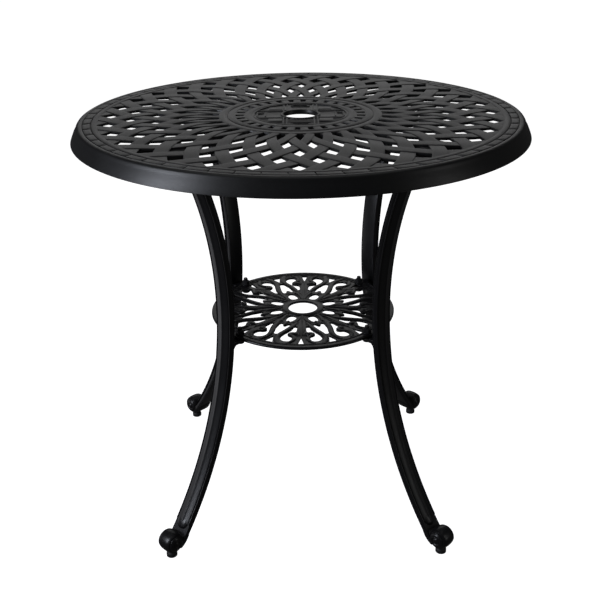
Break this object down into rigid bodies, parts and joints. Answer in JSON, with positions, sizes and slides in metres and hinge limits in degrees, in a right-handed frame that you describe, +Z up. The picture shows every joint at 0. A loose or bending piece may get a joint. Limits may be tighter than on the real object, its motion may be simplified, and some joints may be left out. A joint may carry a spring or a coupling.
{
  "type": "umbrella table",
  "caption": "Round cast patio table with a woven lattice top, umbrella hole, bowed legs with scroll feet and a scrollwork shelf.",
  "frame": {"origin": "on the floor, on the axis of the umbrella hole, centre of the underside of the bounding box", "axes": "+Z up along the umbrella hole; the legs stand on the diagonals between X and Y; -Y faces the viewer of the picture"},
  "size_m": [0.7599, 0.76, 0.7243],
  "materials": {
    "powder_coat": "black powder coat on cast aluminium, satin, fine cast grain",
    "glide_plastic": "matt black nylon",
    "stud_steel": "zinc-plated steel thread",
    "black_fastener": "black-finished steel"
  },
  "bodies": {
    "frame": {"table_top": "powder_coat", "leg_front_left": "powder_coat", "leg_front_right": "powder_coat", "leg_rear_right": "powder_coat", "leg_rear_left": "powder_coat", "shelf": "powder_coat", "top_bolts": "black_fastener", "top_washers": "black_fastener", "top_spring_washers": "black_fastener", "shelf_bolts": "black_fastener", "shelf_washers": "black_fastener", "shelf_nuts": "black_fastener"},
    "glide_front_left": {"glide_pad_front_left": "glide_plastic", "glide_stud_front_left": "stud_steel"},
    "glide_front_right": {"glide_pad_front_right": "glide_plastic", "glide_stud_front_right": "stud_steel"},
    "glide_rear_right": {"glide_pad_rear_right": "glide_plastic", "glide_stud_rear_right": "stud_steel"},
    "glide_rear_left": {"glide_pad_rear_left": "glide_plastic", "glide_stud_rear_left": "stud_steel"}
  },
  "joints": [
    {"name": "glide_front_left_screw", "type": "slide", "parent": "frame", "child": "glide_front_left", "axis": [0, 0, 1], "range_m": [-0.008, 0.0015]},
    {"name": "glide_front_right_screw", "type": "slide", "parent": "frame", "child": "glide_front_right", "axis": [0, 0, 1], "range_m": [-0.008, 0.0015]},
    {"name": "glide_rear_right_screw", "type": "slide", "parent": "frame", "child": "glide_rear_right", "axis": [0, 0, 1], "range_m": [-0.008, 0.0015]},
    {"name": "glide_rear_left_screw", "type": "slide", "parent": "frame", "child": "glide_rear_left", "axis": [0, 0, 1], "range_m": [-0.008, 0.0015]}
  ]
}
